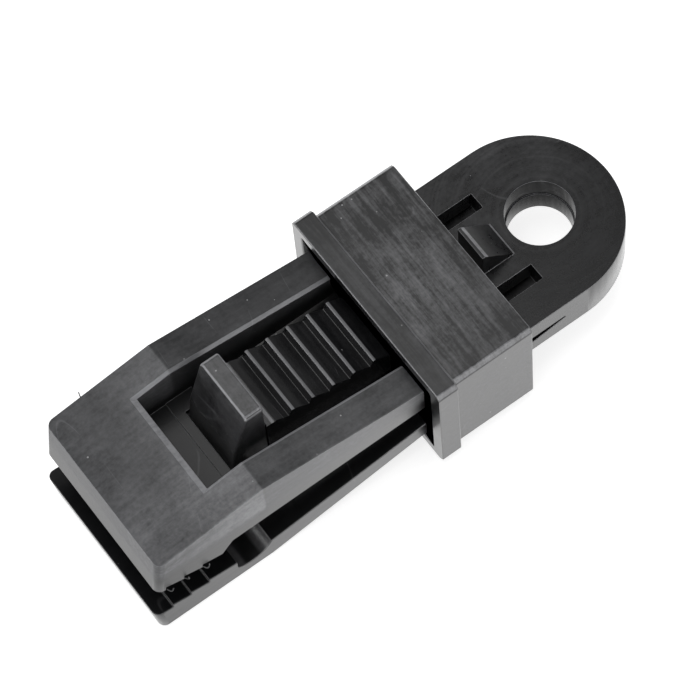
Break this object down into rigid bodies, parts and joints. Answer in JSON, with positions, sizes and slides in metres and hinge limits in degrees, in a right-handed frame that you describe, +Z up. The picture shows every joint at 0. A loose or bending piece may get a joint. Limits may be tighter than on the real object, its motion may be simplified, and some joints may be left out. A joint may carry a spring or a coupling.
{
  "type": "tarp clip",
  "caption": "Black plastic tarp clip: toothed sprung jaws, a wedge collar that slides forward to close them, a ratchet tongue with thumb button, and a tie eye.",
  "frame": {"origin": "on the plane of the lower nose's flat underside, under the middle of the box", "axes": "+X from the jaw tips to the eye, +Z up through the upper jaw"},
  "size_m": [0.091, 0.0356, 0.0271],
  "materials": {
    "clip_plastic": "satin black moulded plastic",
    "collar_plastic": "satin black moulded plastic with flow streaks"
  },
  "bodies": {
    "eye_plate": {"eye_plate": "clip_plastic"},
    "upper_jaw": {"upper_jaw": "clip_plastic"},
    "lower_jaw": {"lower_jaw": "clip_plastic"},
    "latch": {"latch_tongue": "clip_plastic", "thumb_button": "clip_plastic"},
    "collar": {"collar": "collar_plastic"}
  },
  "joints": [
    {"name": "collar_slide", "type": "slide", "parent": "eye_plate", "child": "collar", "axis": [-1, 0, 0], "range_m": [-0.0015, 0.02]},
    {"name": "upper_jaw_close", "type": "hinge", "parent": "eye_plate", "child": "upper_jaw", "pos_m": [0.01715, 0, 0.01381], "axis": [0, -1, 0], "range_deg": [-0.23, 3]},
    {"name": "lower_jaw_close", "type": "hinge", "parent": "eye_plate", "child": "lower_jaw", "pos_m": [0.01715, 0, 0.00903], "axis": [0, 1, 0], "range_deg": [-0.29, 3.8]},
    {"name": "latch_press", "type": "hinge", "parent": "upper_jaw", "child": "latch", "pos_m": [0.01715, 0, 0.01381], "axis": [0, -1, 0], "range_deg": [-1.2, 4], "stiffness_Nm_per_rad": 1}
  ],
  "couplings": [
    {"joint": "upper_jaw_close", "follows": "collar_slide", "rad_per_m": 2.6179},
    {"joint": "lower_jaw_close", "follows": "collar_slide", "rad_per_m": 3.3161}
  ]
}
